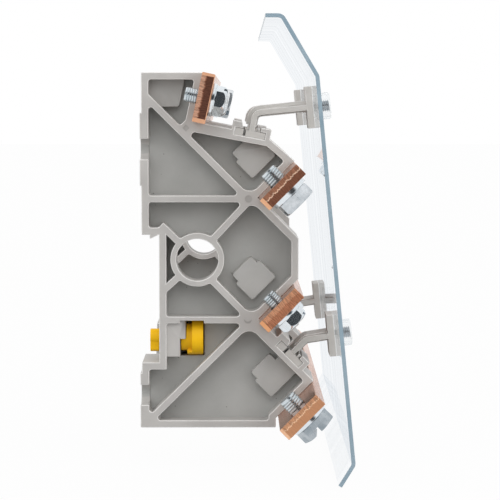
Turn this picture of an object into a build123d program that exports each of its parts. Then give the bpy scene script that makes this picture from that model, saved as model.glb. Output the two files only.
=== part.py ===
"""Stepped busbar distribution block: four copper bars on two ribbed end supports.

Millimetres. X runs out from the mounting wall, Y along the bars, Z up.
The origin is on the rear mounting plane, half way between the supports,
at the middle of the recess that takes the mounting rail.
"""
import os
from math import cos, radians, sin, sqrt, tan

from build123d import *

# End supports: overall sizes
SUPPORT_GAP = 88.0          # clear distance between the two supports
SUPPORT_DEPTH = 22.0        # size of a support along the bars
SUPPORT_TOP = 68.7
SUPPORT_BOTTOM = -39.5
FRONT_X = 48.2              # straight front wall between bars 2 and 3
WALL = 2.2                  # outer walls and bar seats
RIB = 2.1
FRONT_CELLS = 7.0           # depth of the cells on the near side of the web
WEB = 2.0
CORNER = 0.8                # moulded corner radius in the cells
WIDE_CORNER = 3.4           # radius where two ribs and two seat walls meet
REACH = 60.0                # size of a cutting shape that goes past the whole of a piece

# Rear face: pads, rail recess and fixing slots
PAD_PROUD = 0.5
PAD_TOP = (34.4, 56.5)
PAD_BOTTOM = (-39.5, -22.7)
RAIL_OPENING = 39.0
RAIL_DEPTH = 5.8            # recess floor, measured from the rear mounting plane
RAIL_TOOTH = 1.1
TOOTH_INNER = 3.0
SLOT_PITCH = 75.0
SLOT_TOP = 45.5
SLOT_WIDTH = 6.2

# Rib network: nodes and rib ends, X and Z
RING_CENTRE = (17.4, 11.9)
RING_BORE = 6.4
RING_SOCKET = 9.0           # wider bore behind the web
RING_WALL = 1.8
NODE_TOP = (14.6, 51.9)
NODE_MID = (33.0, 30.4)
NODE_LOW = (33.8, -6.5)
NODE_LENGTH = 4.4
EJECTOR_MARK = 1.1          # radius of the round marks on the two lower nodes
MARK_DEPTH = 0.2

# Busbars
BAR_WIDTH = 15.0
BAR_THICK = 4.0
BAR_EDGE = 0.3
LONG_END = 27.0             # overhang that carries the larger bolt
SHORT_END = 13.0            # overhang that carries the smaller bolt
LONG_BOLT = 10.0            # bolt centre to bar end
SHORT_BOLT = 6.0
TOP_SLOPE = 11.0            # degrees, upper wall below bar 1
BAR_1_SLOPE = 12.3
STEP_SLOPE = 45.0           # degrees, bars 2 to 4
SEATS = {
    1: ((17.7, 61.3), BAR_1_SLOPE),
    2: ((41.4, 36.4), STEP_SLOPE),
    3: ((41.4, -0.8), STEP_SLOPE),
    4: ((47.2, -30.8), STEP_SLOPE),
}
SEAT_MARGIN = 0.4
OUTLET_PITCH = 16.0
OUTLET_COUNT = 5

# Towers behind the seats, which hold the captive nuts
TOWER_WIDTH = 10.3
TOWER_NECK = 8.2
TOWER_STEP = 12.4
TOWER_END = 15.1
TOWER_4_TOP = 6.0           # the lowest tower joins the wall above it
TOWER_RISE = 3.0            # height of its front over the web
NUT_SIDE = 8.0
NUT_THICK = 2.7
NUT_SLACK = 0.15
SCREW_RUNOUT = 4.0
SEAT_HOLE_DEPTH = FRONT_CELLS + WEB + NUT_SIDE / 2      # the nut lies against the web

# Threaded fasteners: radius, length, head across flats, head height, washer radius, washer thickness
SMALL = {"r": 2.5, "length": 9.0, "flats": 8.0, "head": 3.5, "washer_r": 5.0, "washer_t": 1.1}
LARGE = {"r": 3.0, "length": 10.0, "flats": 10.0, "head": 4.0, "washer_r": 6.0, "washer_t": 1.6}
SEAT_SCREW_LENGTH = 12.0
THREAD_CLEAR = 0.05
HOLE_CLEAR = 0.3
HEAD_SLOT = 1.6
HEAD_SLOT_DEPTH = 1.2
SCREW_TIP = 0.6

# Tracks for the cover arms: where the foot's lower rear corner lies, and the slope
TRACKS = {
    "upper": {"at": (28.6, 50.0), "slope": TOP_SLOPE, "lip_start": -1.0},
    "lower": {"at": (41.5, -14.5), "slope": STEP_SLOPE, "lip_start": -1.8},
}
SKIN = 0.5                  # outer wall surface over the track floor
FOOT_LENGTH = 9.3
FOOT_THICK = 2.0
FOOT_HEEL = 2.2             # height of the foot's rear piece
FOOT_CLEAR = 0.1
FOOT_START = 0.2            # from the support's near face
LEFT_LIP = 2.5
LEFT_LIP_TOP = 1.8
LEFT_LIP_HEIGHT = 4.2
RIGHT_LIP = 7.8
RIGHT_LIP_HEIGHT = 3.5
TRACK_END = 11.0

# Cover arms
ARM_START = 2.0             # from the support's near face
ARM_DEPTH = 12.0
ARM_THICK = 1.7
ARM_BEHIND = 1.5            # where the thicker body starts behind the arm's near edge
ARM_FLARE = {"upper": (1.3, 0.5), "lower": (0.4, 0.5)}   # body over the near edge, above and below
ARM_BEND = 2.4
ARM_NECK = 1.8              # how far above the foot the thicker body starts
STALK_AT = 5.1              # stalk centre along the foot
FOOT_SLIT = (2.6, 3.4)
SLIT_HEIGHT = 1.8
NUB_AT = 7.2
NUB_SIZE = (0.8, 1.1)
ARM_RISE = {"upper": (35.0, 56.5), "lower": (50.4, -12.8)}
PLATE_Z = {"upper": 58.3, "lower": -11.4}
PLATE_HEIGHT = 12.8
PLATE_THICK = 2.1

# Cover: middle line of the bent sheet
COVER_LENGTH = 200.0
COVER_THICK = 1.2
COVER_LINE = [(37.6, 84.2), (42.3, 84.2), (52.45, 67.0), (63.2, -45.0), (59.3, -51.3)]
COVER_BEND = 2.0

# Knurled cover screws
KNOB_R = 4.1
KNOB_HEIGHT = 4.2
KNOB_GROOVES = 12
KNOB_GROOVE_R = 0.45
COVER_SCREW_R = 1.5
COVER_SCREW_LENGTH = 3.1

# Quarter-turn rail latch
LATCH_Z = -12.4
LATCH_Y = 7.5               # from the support's near face
LATCH_SHAFT = 2.5
LATCH_RUNNING = 0.1
LATCH_BOSS = (1.0, 14.0)
BOSS_TOP = -5.6
BOSS_BOTTOM = -17.9
BOSS_FACE = 13.8
BOSS_STEP = 12.1
LATCH_KNOB_R = 5.5
LATCH_KNOB = (15.6, 19.1)
LATCH_NECK_R = 4.2
LATCH_POCKET = 5.7
POCKET_END = 19.4
POCKET_WALL = 1.2
CAM = (2.8, 5.5)
CAM_REACH = 4.5
CAM_HALF = 2.5
LUG_ANGLE = 88.0            # width of the lug that stops the quarter turn
LUG_FACE = 12.3
TONGUE_ANGLE = 70.0         # width of the tongue under the knob's rear side
TONGUE_FACE = 14.2
DRIVER_SLOT = (1.8, 1.6)

NEAR_Y = -SUPPORT_GAP / 2 - SUPPORT_DEPTH
FAR_Y = SUPPORT_GAP / 2
FACES = {"near": NEAR_Y, "far": FAR_Y}


def place(origin, slope, along, up):
    """Point in X and Z, in a frame whose first axis slopes down from +X."""
    a = radians(slope)
    return (origin[0] + along * cos(a) + up * sin(a), origin[1] - along * sin(a) + up * cos(a))


def height_over(track, point):
    """Distance of a point above a track's floor."""
    a = radians(track["slope"])
    dx = point[0] - track["at"][0]
    dz = point[1] - track["at"][1]
    return dx * sin(a) + dz * cos(a)


def flat(points):
    return make_face(Polyline(*points, close=True))


def block(face, start, end):
    """Extrude a face drawn in X and Z along the bars, from Y start to Y end."""
    return extrude(Plane.XZ.offset(-end) * face, end - start)


def strip(a, b, width):
    """Straight rib between two points, as a face."""
    dx, dz = b[0] - a[0], b[1] - a[1]
    half = width / 2 / sqrt(dx * dx + dz * dz)
    ox, oz = -dz * half, dx * half
    left = [(a[0] + ox, a[1] + oz), (b[0] + ox, b[1] + oz)]
    right = [(b[0] - ox, b[1] - oz), (a[0] - ox, a[1] - oz)]
    return flat(left + right)


def patch(origin, slope, along, up):
    """Rectangle in a sloping frame, from its ranges along and up."""
    corners = [(along[0], up[0]), (along[1], up[0]), (along[1], up[1]), (along[0], up[1])]
    return flat([place(origin, slope, a, u) for a, u in corners])


def seat_plane(bar, y=0.0):
    """Plane of a bar's seat: x along the bar, y up the seat, z outwards."""
    (x, z), slope = SEATS[bar]
    a = radians(slope)
    return Plane(origin=(x, y, z), x_dir=(0, 1, 0), z_dir=(cos(a), 0, -sin(a)))


def outline_points():
    """Outer outline of a support, without its tracks."""
    rear = PAD_PROUD
    half = RAIL_OPENING / 2
    (seat_1, first), (seat_2, step), (seat_3, _), (seat_4, _) = (SEATS[n] for n in (1, 2, 3, 4))
    upper, lower = TRACKS["upper"], TRACKS["lower"]
    top = upper["slope"]
    edge = BAR_WIDTH / 2 + SEAT_MARGIN
    turn = radians(step)
    ledge_run = (FRONT_X - seat_2[0] + edge * sin(turn)) / cos(turn)
    seat_4_foot = place(seat_4, step, 0, -edge - SEAT_MARGIN)
    return [
        (rear, SUPPORT_TOP),
        place(seat_1, first, 0, (SUPPORT_TOP - seat_1[1]) / cos(radians(first))),
        place(seat_1, first, 0, (SKIN - height_over(upper, seat_1)) / cos(radians(first - top))),
        place(upper["at"], top, TRACK_END, SKIN),
        place(seat_2, step, 0, edge),
        place(seat_2, step, 0, -edge),
        place(seat_2, step, ledge_run, -edge),
        (FRONT_X, seat_3[1] + (FRONT_X - seat_3[0]) / tan(turn)),
        place(seat_3, step, 0, SKIN - height_over(lower, seat_3)),
        place(seat_4, step, 0, SKIN - height_over(lower, seat_4)),
        seat_4_foot,
        (seat_4_foot[0], SUPPORT_BOTTOM),
        (rear, SUPPORT_BOTTOM),
        (rear, -half),
        (RAIL_DEPTH, -half),
        (RAIL_DEPTH, half),
        (rear, half),
    ]


def track_faces(track):
    """Lips and shoulder of a track, and the channel that the foot slides in."""
    at, slope = track["at"], track["slope"]
    start = track["lip_start"]
    heel, toe = FOOT_HEEL + FOOT_CLEAR, FOOT_THICK + FOOT_CLEAR
    lips = flat([place(at, slope, a, u) for a, u in (
        (start, 0), (start, LEFT_LIP_HEIGHT), (LEFT_LIP_TOP, LEFT_LIP_HEIGHT), (LEFT_LIP, heel),
        (RIGHT_LIP, heel), (RIGHT_LIP, RIGHT_LIP_HEIGHT), (TRACK_END, RIGHT_LIP_HEIGHT), (TRACK_END, 0))])
    channel = patch(at, slope, (-FOOT_CLEAR, FOOT_LENGTH + FOOT_CLEAR), (0, toe))
    channel += patch(at, slope, (-FOOT_CLEAR, LEFT_LIP), (0, heel))
    gap = patch(at, slope, (LEFT_LIP, RIGHT_LIP), (0, LEFT_LIP_HEIGHT))
    return lips, channel + gap


def shoulder(track, bar):
    """Step beside a track on which the bar above it stands."""
    seat, slope = SEATS[bar]
    a = radians(track["slope"])
    foot = place(seat, slope, 0, -BAR_WIDTH / 2)
    reach = (foot[0] - track["at"][0]) * cos(a) - (foot[1] - track["at"][1]) * sin(a)
    top = height_over(track, place(seat, slope, BAR_THICK, -BAR_WIDTH / 2))
    return patch(track["at"], track["slope"], (reach - WALL, track["lip_start"] + 0.1), (-SKIN, top))


def wide_corner(origin, slope, along, up):
    """Filling of a right-angled cell corner with a large radius, on the side that the two signs give."""
    r = WIDE_CORNER
    square = patch(origin, slope, sorted((-along * RIB / 2, along * r)), sorted((-up * RIB / 2, up * r)))
    return square - Pos(place(origin, slope, along * r, up * r)) * Circle(r)


def wide_corners():
    """The four large corners at the nodes between the ribs and the seats of bars 2 and 3."""
    seat_2, seat_3, lower = SEATS[2][0], SEATS[3][0], TRACKS["lower"]
    edge = BAR_WIDTH / 2 + SEAT_MARGIN
    across = radians(STEP_SLOPE)

    def measured(origin, point):
        dx, dz = point[0] - origin[0], point[1] - origin[1]
        return dx * cos(across) - dz * sin(across), dx * sin(across) + dz * cos(across)

    mid_along, mid_up = measured(seat_2, NODE_MID)
    low_up = measured(seat_3, NODE_LOW)[1]
    low_along = measured(lower["at"], NODE_LOW)[0]
    half = RIB / 2
    corners = [
        (place(seat_2, STEP_SLOPE, -WALL, mid_up + half), -1, 1),
        (place(seat_2, STEP_SLOPE, mid_along + half, -edge - WALL), 1, -1),
        (place(seat_3, STEP_SLOPE, -WALL, low_up + half), -1, 1),
        (place(lower["at"], STEP_SLOPE, low_along + half, SKIN - WALL), 1, -1),
    ]
    faces = Sketch()
    for origin, along, up in corners:
        faces += wide_corner(origin, STEP_SLOPE, along, up)
    return faces


def rib_faces(ring_bore):
    """Ribs from node to node, with the ring that they meet at."""
    ring = RING_CENTRE
    half = RAIL_OPENING / 2
    inner = RAIL_DEPTH + RIB / 2
    node_top = place(NODE_TOP, STEP_SLOPE, 0, 1.2)
    runs = [
        (place(NODE_MID, STEP_SLOPE, -45.0, 0), place(NODE_MID, STEP_SLOPE, 2.0, 0)),
        ((PAD_PROUD + 1.0, NODE_MID[1]), NODE_MID),
        (place(NODE_MID, STEP_SLOPE, 0.5, 0), place(ring, STEP_SLOPE, -0.8, 0)),
        (ring, (RAIL_DEPTH + 0.6, half + WALL + 0.8)),
        (ring, (inner - 0.3, 2.0)),
        (place(ring, STEP_SLOPE, 0, -1.2), place(NODE_LOW, STEP_SLOPE, 0, 0)),
        ((inner, NODE_LOW[1]), NODE_LOW),
        (NODE_LOW, (PAD_PROUD + WALL / 2, SUPPORT_BOTTOM + WALL / 2)),
    ]
    faces = Sketch()
    for start, end in runs:
        faces += strip(start, end, RIB)
    faces += patch(node_top, STEP_SLOPE, (-NODE_LENGTH / 2, NODE_LENGTH / 2), (-2.4, 2.4))
    faces += Pos(ring) * Circle(ring_bore + RING_WALL)
    return faces + wide_corners()


def rounded(cell):
    """One cell with its corners rounded; a cell too narrow for that, beside the ring, keeps its own."""
    outline = sum(edge.length for edge in cell.outer_wire().edges())
    if 2 * cell.area / outline < 3 * CORNER:
        return cell
    return offset(offset(cell, -CORNER, kind=Kind.ARC), CORNER, kind=Kind.ARC)


def tower_face(bar):
    """Front of the tower behind a seat, which holds that bar's captive nut."""
    origin, slope = SEATS[bar]
    near = -WALL - NUT_THICK - NUT_SLACK
    if bar == 1:
        back = PAD_PROUD + WALL / 2
        top, bottom = place(origin, slope, near, 5.8), place(origin, slope, near, -4.2)
        return flat([top, bottom, (back, bottom[1]), (back, top[1])])
    top = TOWER_4_TOP if bar == 4 else TOWER_WIDTH / 2
    wide = patch(origin, slope, (-TOWER_STEP, near), (-TOWER_WIDTH / 2, top))
    neck = patch(origin, slope, (-TOWER_END, -TOWER_STEP), (-TOWER_NECK / 2, TOWER_NECK / 2))
    return wide + neck


def rear_slot(z, y):
    """Fixing slot through the rear wall, open at the near face, with a round end."""
    half = SLOT_WIDTH / 2
    centre = y + FRONT_CELLS - half
    deep = PAD_PROUD + WALL
    round_end = Pos(deep / 2, centre, z) * Rot(0, 90, 0) * Cylinder(half, deep + 2)
    mouth = Pos(deep / 2, (y - 1 + centre) / 2, z) * Box(deep + 2, centre - y + 1, SLOT_WIDTH)
    return (round_end + mouth) & Pos(deep / 2, y + SUPPORT_DEPTH / 2, z) * Box(deep, REACH, REACH / 2)


def latch_seat(y):
    """Boss that carries the rail latch, stepped so that the latch stops after a quarter turn."""
    back = RAIL_DEPTH + WALL / 2
    step = LATCH_Z
    upper = block(flat([(back, step), (back, BOSS_TOP), (BOSS_FACE, BOSS_TOP), (BOSS_FACE, step)]),
                  y + LATCH_BOSS[0], y + LATCH_BOSS[1])
    lower = block(flat([(back, BOSS_BOTTOM), (back, step), (BOSS_STEP, step), (BOSS_STEP, BOSS_BOTTOM)]),
                  y + LATCH_BOSS[0], y + LATCH_BOSS[1])
    return upper + lower


def pocket_face(wall):
    """Pocket that the latch's knob turns in, grown by a wall."""
    half = LATCH_POCKET + wall
    back, front = BOSS_STEP - wall, POCKET_END + wall
    low, high = LATCH_Z - half, LATCH_Z + half
    return flat([(back, low), (back, high), (front, high), (front, low)])


def mark_faces():
    """Ejector marks: a square one on the upper node, round ones on the others, the lowest a crescent."""
    r = EJECTOR_MARK
    half = r * 0.7
    square = patch(place(NODE_TOP, STEP_SLOPE, -0.4, -0.4), STEP_SLOPE, (-half, half), (-half, half))
    disc = Pos(NODE_MID) * Circle(r)
    low = (NODE_LOW[0] - 1.0, NODE_LOW[1])
    crescent = Pos(low) * Circle(r) - Pos(low[0], low[1] + 0.6) * Circle(r)
    return square + disc + crescent


def make_support(y):
    """One end support, its near face at y."""
    outer, near_cells, far_cells = make_support_faces()
    back = y + SUPPORT_DEPTH
    body = block(outer, y, back)
    web = y + FRONT_CELLS
    for face in near_cells.faces():
        body -= block(rounded(face), y, web)
    for face in far_cells.faces():
        body -= block(rounded(face), web + WEB, back)
    for bar in SEATS:
        body += block(tower_face(bar) & outer, web - TOWER_RISE, back)
    for name in TRACKS:
        track = TRACKS[name]
        lips, channel = track_faces(track)
        body += block(lips + shoulder(track, 1 if name == "upper" else 3), y, back)
        body -= block(channel, y, back)
    for pad in (PAD_TOP, PAD_BOTTOM):
        body += block(flat([(0, pad[0]), (0, pad[1]), (PAD_PROUD, pad[1]), (PAD_PROUD, pad[0])]), y, back)
    half = RAIL_OPENING / 2
    tooth = flat([(TOOTH_INNER, half + 0.2), (RAIL_DEPTH - 0.4, half + 0.2), (RAIL_DEPTH - 0.4, half - 0.1),
                  (TOOTH_INNER + 0.3, half - RAIL_TOOTH), (TOOTH_INNER, half - RAIL_TOOTH)])
    body += block(tooth, y, back)
    for z in (SLOT_TOP, SLOT_TOP - SLOT_PITCH):
        body -= rear_slot(z, y)
    body -= block(Pos(RING_CENTRE) * Circle(RING_BORE), y, web + WEB)
    body -= block(Pos(RING_CENTRE) * Circle(RING_SOCKET), web + WEB, back)
    body += block(pocket_face(POCKET_WALL), web, y + LATCH_BOSS[1] + POCKET_WALL)
    body -= block(pocket_face(0), y, y + LATCH_BOSS[1])
    body += latch_seat(y)
    shaft_hole = Rot(0, 90, 0) * Cylinder(LATCH_SHAFT + LATCH_RUNNING, 12)
    body -= Pos(RAIL_DEPTH + 4, y + LATCH_Y, LATCH_Z) * shaft_hole
    body -= block(mark_faces(), y, y + MARK_DEPTH)
    for bar in SEATS:
        plane = seat_plane(bar, y + SEAT_HOLE_DEPTH)
        deep = WALL + NUT_THICK + SCREW_RUNOUT
        body -= plane * Pos(0, 0, 1 - (deep + 2) / 2) * Cylinder(SMALL["r"] + HOLE_CLEAR, deep + 2)
    return body


def make_support_faces():
    """The outline, then the cells on the near side and on the far side, as faces."""
    outer = flat(outline_points())
    hollow = offset(outer, -WALL, kind=Kind.INTERSECTION)
    near = hollow - rib_faces(RING_BORE)
    far = hollow - rib_faces(RING_SOCKET)
    return outer, near, far


def bar_span(bar):
    """Y range of a bar: its long end is at the near side for bars 2 and 4."""
    if bar % 2:
        return NEAR_Y - SHORT_END, -NEAR_Y + LONG_END
    return NEAR_Y - LONG_END, -NEAR_Y + SHORT_END


def end_holes(bar):
    """Y of a bar's main bolt and of its end screw."""
    start, end = bar_span(bar)
    if bar % 2:
        return end - LONG_BOLT, start + SHORT_BOLT
    return start + LONG_BOLT, end - SHORT_BOLT


def outlets():
    """Y of the row of connection screws."""
    return [(i - (OUTLET_COUNT - 1) / 2) * OUTLET_PITCH for i in range(OUTLET_COUNT)]


def seat_screw_rows():
    return [FACES[end] + SEAT_HOLE_DEPTH for end in FACES]


def make_busbar(bar):
    """Flat bar with rounded long edges, tapped for its screws and drilled over the supports."""
    start, end = bar_span(bar)
    body = Box(end - start, BAR_WIDTH, BAR_THICK)
    body = fillet(body.edges().filter_by(Axis.X), BAR_EDGE)
    body = seat_plane(bar, (start + end) / 2) * Pos(0, 0, BAR_THICK / 2) * body
    main, small = end_holes(bar)
    holes = [(main, LARGE["r"] + THREAD_CLEAR), (small, SMALL["r"] + THREAD_CLEAR)]
    holes += [(y, SMALL["r"] + THREAD_CLEAR) for y in outlets()]
    holes += [(y, SMALL["r"] + HOLE_CLEAR) for y in seat_screw_rows()]
    for y, radius in holes:
        body -= seat_plane(bar, y) * Pos(0, 0, BAR_THICK / 2) * Cylinder(radius, BAR_THICK + 2)
    return body


def make_screw(size, length):
    """Slotted hexagon screw standing on z = 0, which is the face its washer lies on."""
    corner = size["flats"] / 2 / cos(radians(30))
    head = extrude(RegularPolygon(corner, 6), size["head"])
    crown = chamfer(Cylinder(corner, size["head"]).edges().group_by(Axis.Z)[-1], corner - size["flats"] / 2)
    head = head & Pos(0, 0, size["head"] / 2) * crown
    head -= Pos(0, 0, size["head"]) * Box(size["flats"] * 2, HEAD_SLOT, HEAD_SLOT_DEPTH * 2)
    shank = Cylinder(size["r"], length)
    shank = chamfer(shank.edges().group_by(Axis.Z)[0], SCREW_TIP)
    return Pos(0, 0, size["washer_t"]) * (head + Pos(0, 0, -length / 2) * shank)


def make_washer(size):
    """Plain washer on z = 0."""
    thick = size["washer_t"]
    ring = Cylinder(size["washer_r"], thick) - Cylinder(size["r"] + HOLE_CLEAR, thick)
    return Pos(0, 0, thick / 2) * ring


def on_bar(bar, y, shape):
    """A fastener moved onto the outer face of a bar."""
    return seat_plane(bar, y) * Pos(0, 0, BAR_THICK) * shape


def row(shapes):
    """Group of separate solids in one node."""
    return Compound(children=list(shapes))


def make_nut():
    """Square captive nut, its outer face on z = 0."""
    body = Box(NUT_SIDE, NUT_SIDE, NUT_THICK)
    body = chamfer(body.edges().filter_by(Axis.Z), 0.6)
    return Pos(0, 0, -NUT_THICK / 2) * (body - Cylinder(SMALL["r"] + THREAD_CLEAR, NUT_THICK))


def mitred(points, shift):
    """Points of a line moved sideways by shift, to the left of its direction."""
    count = len(points)
    lefts = []
    for i in range(count - 1):
        dx, dz = points[i + 1][0] - points[i][0], points[i + 1][1] - points[i][1]
        size = sqrt(dx * dx + dz * dz)
        lefts.append((-dz / size, dx / size))
    moved = []
    for i in range(count):
        a, b = lefts[max(i - 1, 0)], lefts[min(i, count - 2)]
        k = shift / (1 + a[0] * b[0] + a[1] * b[1])
        moved.append((points[i][0] + (a[0] + b[0]) * k, points[i][1] + (a[1] + b[1]) * k))
    return moved


def ribbon(points, left, right, bend):
    """Face of a bent sheet whose bends all turn right; bend is the radius on the given line."""
    outside = FilletPolyline(*mitred(points, left), radius=bend + left)
    inside = FilletPolyline(*mitred(points, -right), radius=bend - right)
    ends = [Line(outside @ 0, inside @ 0), Line(outside @ 1, inside @ 1)]
    return make_face([outside, inside] + ends)


def cover_point(z, out):
    """Point beside the cover's long face: at height z on its middle line, then out from it."""
    (x1, z1), (x2, z2) = COVER_LINE[2], COVER_LINE[3]
    size = sqrt((x2 - x1) ** 2 + (z2 - z1) ** 2)
    dx, dz = (x2 - x1) / size, (z2 - z1) / size
    x = x1 + dx * (z - z1) / dz
    return (x - dz * out, z + dx * out)


def cover_plane(z, y):
    """Plane on the cover's inner face, x along the bars, z out of the cover."""
    x0, z0 = cover_point(z, -COVER_THICK / 2)
    x1, z1 = cover_point(z, 1 - COVER_THICK / 2)
    return Plane(origin=(x0, y, z0), x_dir=(0, 1, 0), z_dir=(x1 - x0, 0, z1 - z0))


def make_cover():
    """Clear sheet bent along three lines, drilled for its screws."""
    half = COVER_LENGTH / 2
    body = block(ribbon(COVER_LINE, COVER_THICK / 2, COVER_THICK / 2, COVER_BEND), -half, half)
    hole = Cylinder(COVER_SCREW_R + HOLE_CLEAR, 5 * COVER_THICK)
    for name in PLATE_Z:
        for end in FACES:
            body -= cover_plane(PLATE_Z[name], arm_middle(end)) * hole
    return body


def arm_middle(end):
    return FACES[end] + ARM_START + ARM_DEPTH / 2


def make_arm(name, end):
    """Moulded arm: slit foot in its track, bent stalk, and a plate against the cover."""
    track = TRACKS[name]
    at, slope = track["at"], track["slope"]
    start = FACES[end] + ARM_START
    stop = start + ARM_DEPTH
    root = place(at, slope, STALK_AT, FOOT_THICK / 2)
    tip = cover_point(PLATE_Z[name], -COVER_THICK / 2 - PLATE_THICK / 2)
    line = [root, ARM_RISE[name], tip]
    half = ARM_THICK / 2
    above, below = ARM_FLARE[name]
    body = block(ribbon(line, half, half, ARM_BEND), start, stop)
    above_foot = patch(at, slope, (-REACH, REACH), (FOOT_THICK + ARM_NECK, REACH))
    body += block(ribbon(line, half + above, half + below, ARM_BEND) & above_foot, start + ARM_BEHIND, stop)
    foot_start = FACES[end] + FOOT_START
    body += block(patch(at, slope, (0, FOOT_LENGTH), (0, FOOT_THICK)), foot_start, stop)
    body += block(patch(at, slope, (0, LEFT_LIP), (0, FOOT_HEEL)), foot_start, stop)
    body += block(patch(at, slope, (NUB_AT - NUB_SIZE[0] / 2, NUB_AT + NUB_SIZE[0] / 2),
                        (FOOT_THICK - 0.2, FOOT_THICK + NUB_SIZE[1])), start, stop)
    body -= block(patch(at, slope, FOOT_SLIT, (FOOT_THICK - SLIT_HEIGHT, FOOT_HEEL + 1)), foot_start, stop)
    plane = cover_plane(PLATE_Z[name], (start + stop) / 2)
    plate = plane * Pos(0, 0, -PLATE_THICK / 2) * Box(ARM_DEPTH, PLATE_HEIGHT, PLATE_THICK)
    body = body - plane * Pos(0, 0, REACH / 4) * Box(REACH, REACH, REACH / 2) + plate
    body -= plane * Pos(0, 0, -PLATE_THICK / 2) * Cylinder(COVER_SCREW_R + THREAD_CLEAR, PLATE_THICK)
    return body


def make_cover_screw(name, end):
    """Clear knurled head with a short screw that goes through the cover into the arm's plate."""
    head = Pos(0, 0, KNOB_HEIGHT / 2) * Cylinder(KNOB_R, KNOB_HEIGHT)
    head = chamfer(head.edges().group_by(Axis.Z)[-1], 0.4)
    for place_at in PolarLocations(KNOB_R + KNOB_GROOVE_R * 0.4, KNOB_GROOVES):
        head -= place_at * Pos(0, 0, KNOB_HEIGHT / 2) * Cylinder(KNOB_GROOVE_R, KNOB_HEIGHT + 1)
    head += Pos(0, 0, -COVER_SCREW_LENGTH / 2) * Cylinder(COVER_SCREW_R, COVER_SCREW_LENGTH)
    return cover_plane(PLATE_Z[name], arm_middle(end)) * Pos(0, 0, COVER_THICK) * head


def along_x(radius, start, end):
    """Cylinder along X on the latch's axis."""
    return Pos((start + end) / 2, 0, 0) * Rot(0, 90, 0) * Cylinder(radius, end - start)


def make_latch(y):
    """Quarter-turn rail latch: cam in the recess, shaft, lug and slotted knob."""
    body = along_x(LATCH_KNOB_R, *LATCH_KNOB)
    body -= Pos(LATCH_KNOB[1], 0, 0) * Box(DRIVER_SLOT[1] * 2, DRIVER_SLOT[0], 4 * LATCH_KNOB_R)
    neck_start = BOSS_FACE + LATCH_RUNNING
    body += along_x(LATCH_NECK_R, neck_start, LATCH_KNOB[0])
    body += along_x(LATCH_SHAFT, CAM[1], LATCH_KNOB[0])
    lug = Plane.YZ.offset(LUG_FACE) * sector(LATCH_NECK_R, 181, LUG_ANGLE)
    body += extrude(lug, neck_start - LUG_FACE + 0.2)
    tongue = Plane.YZ.offset(TONGUE_FACE) * sector(LATCH_KNOB_R, 270 - TONGUE_ANGLE / 2, TONGUE_ANGLE)
    body += extrude(tongue, LATCH_KNOB[0] - TONGUE_FACE + 0.2)
    cam = Plane.YZ.offset(CAM[0]) * (Circle(CAM_HALF) + Pos(0, -CAM_REACH / 2 + 0.3) * Rectangle(
        CAM_HALF * 1.6, CAM_REACH - 0.6) + Pos(0, CAM_HALF * 0.8 - CAM_REACH) * Circle(CAM_HALF * 0.8))
    body += extrude(cam, CAM[1] - CAM[0])
    return Pos(0, y + LATCH_Y, LATCH_Z) * body


def sector(radius, start, width):
    """Sector about the latch's axis, from a start angle in degrees."""
    rim = [(radius * cos(a), radius * sin(a)) for a in (radians(start + width * i / 2) for i in range(3))]
    return make_face([Line((0, 0), rim[0]), ThreePointArc(*rim), Line(rim[2], (0, 0))])


def build():
    """Every node of the block, by name."""
    nodes = {}
    for end in FACES:
        y = FACES[end]
        nodes["end_support_" + end] = make_support(y)
        row_y = y + SEAT_HOLE_DEPTH
        screw = make_screw(SMALL, SEAT_SCREW_LENGTH)
        nodes["support_screws_" + end] = row(on_bar(bar, row_y, screw) for bar in SEATS)
        nodes["support_washers_" + end] = row(on_bar(bar, row_y, make_washer(SMALL)) for bar in SEATS)
        nut = Pos(0, 0, -WALL) * make_nut()
        nodes["support_nuts_" + end] = row(seat_plane(bar, row_y) * nut for bar in SEATS)
        nodes["rail_latch_" + end] = make_latch(y)
        for name in TRACKS:
            nodes["cover_arm_" + name + "_" + end] = make_arm(name, end)
            nodes["cover_screw_" + name + "_" + end] = make_cover_screw(name, end)
    for bar in SEATS:
        main, small = end_holes(bar)
        nodes["busbar_%d" % bar] = make_busbar(bar)
        nodes["main_bolt_%d" % bar] = on_bar(bar, main, make_screw(LARGE, LARGE["length"]))
        nodes["main_washer_%d" % bar] = on_bar(bar, main, make_washer(LARGE))
        nodes["end_screw_%d" % bar] = on_bar(bar, small, make_screw(SMALL, SMALL["length"]))
        nodes["end_washer_%d" % bar] = on_bar(bar, small, make_washer(SMALL))
        screw = make_screw(SMALL, SMALL["length"])
        nodes["terminal_screws_%d" % bar] = row(on_bar(bar, y, screw) for y in outlets())
        nodes["terminal_washers_%d" % bar] = row(on_bar(bar, y, make_washer(SMALL)) for y in outlets())
    nodes["cover_screen"] = make_cover()
    return nodes


os.makedirs("parts", exist_ok=True)
for node, shape in build().items():
    export_step(shape, "parts/" + node + ".step")
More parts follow.
